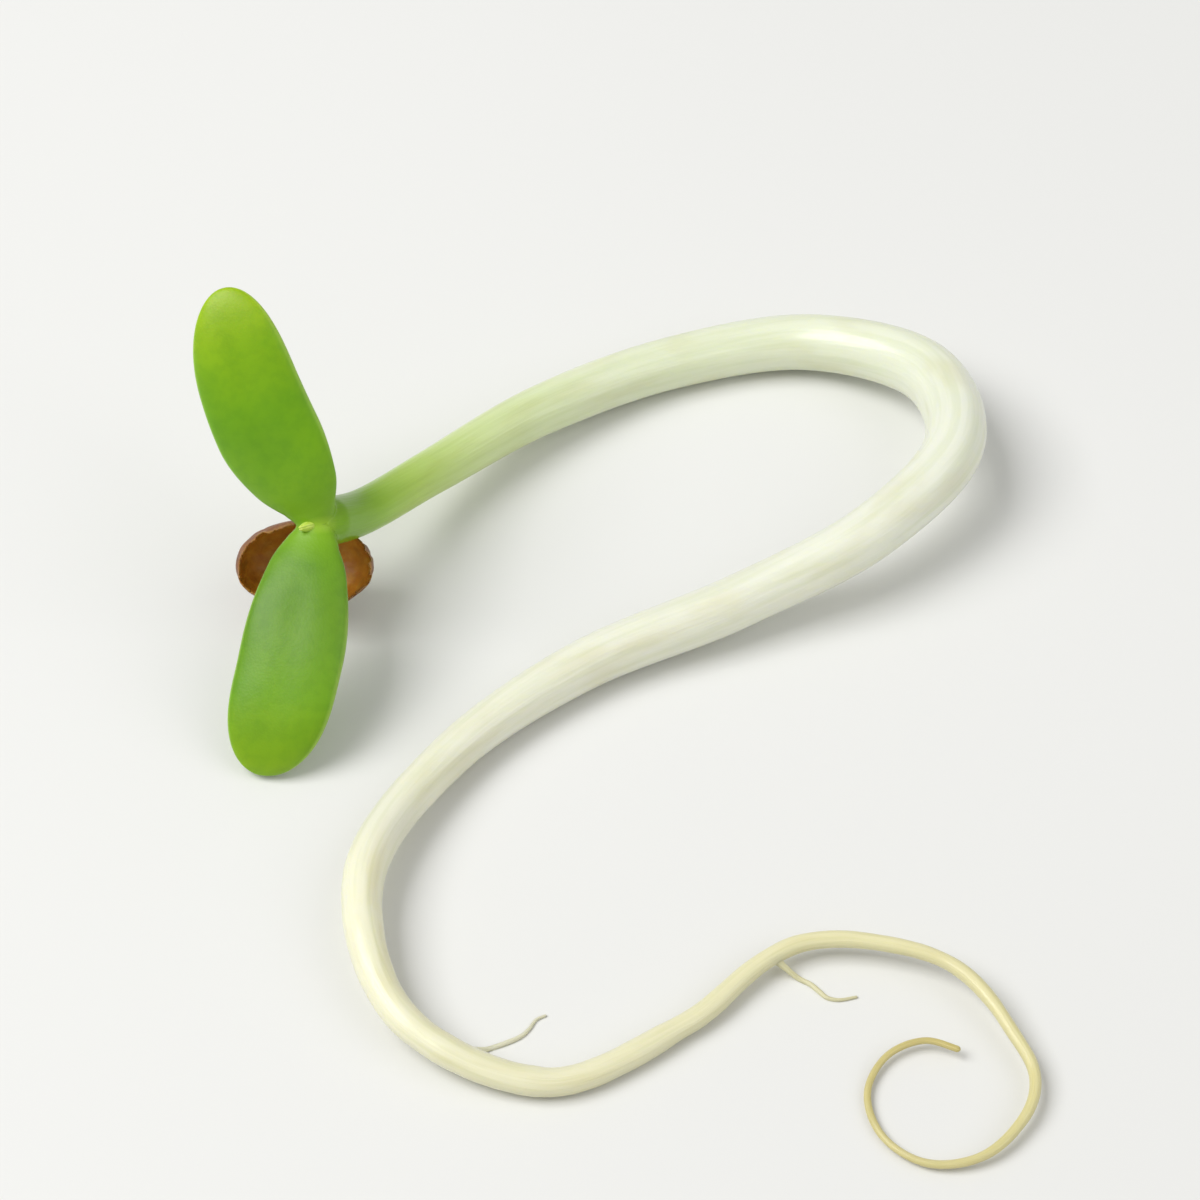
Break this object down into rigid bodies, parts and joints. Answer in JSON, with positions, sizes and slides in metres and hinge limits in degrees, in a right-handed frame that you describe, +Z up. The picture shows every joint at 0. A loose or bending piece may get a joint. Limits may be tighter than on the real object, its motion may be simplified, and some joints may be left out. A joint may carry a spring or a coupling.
{
  "type": "alfalfa sprout",
  "caption": "Alfalfa sprout lying on a surface: wavy white stem, thin tapering root, open green seed leaves with a bud between them, and a split brown seed coat clinging to the neck.",
  "frame": {"origin": "middle of the footprint, on the surface that the sprout lies on", "axes": "+Z up off the surface; +Y along the longer side of the footprint, from the curled root tip towards the stem's wide bend; +X to the right seen from the root's side, away from the seed leaves"},
  "size_m": [0.0172, 0.0224, 0.0078],
  "materials": {
    "stem_tissue": "wet and waxy, slightly see-through",
    "root_tissue": "satin, finely ribbed",
    "upper_leaf": "fleshy, satin",
    "lower_leaf": "fleshy, satin",
    "bud": "matte, downy",
    "husk": "shiny brown husk"
  },
  "bodies": {
    "root": {"stem": "stem_tissue", "root": "root_tissue", "upper_seed_leaf": "upper_leaf", "lower_seed_leaf": "lower_leaf", "first_leaf_bud": "bud", "seed_coat": "husk"}
  },
  "joints": []
}
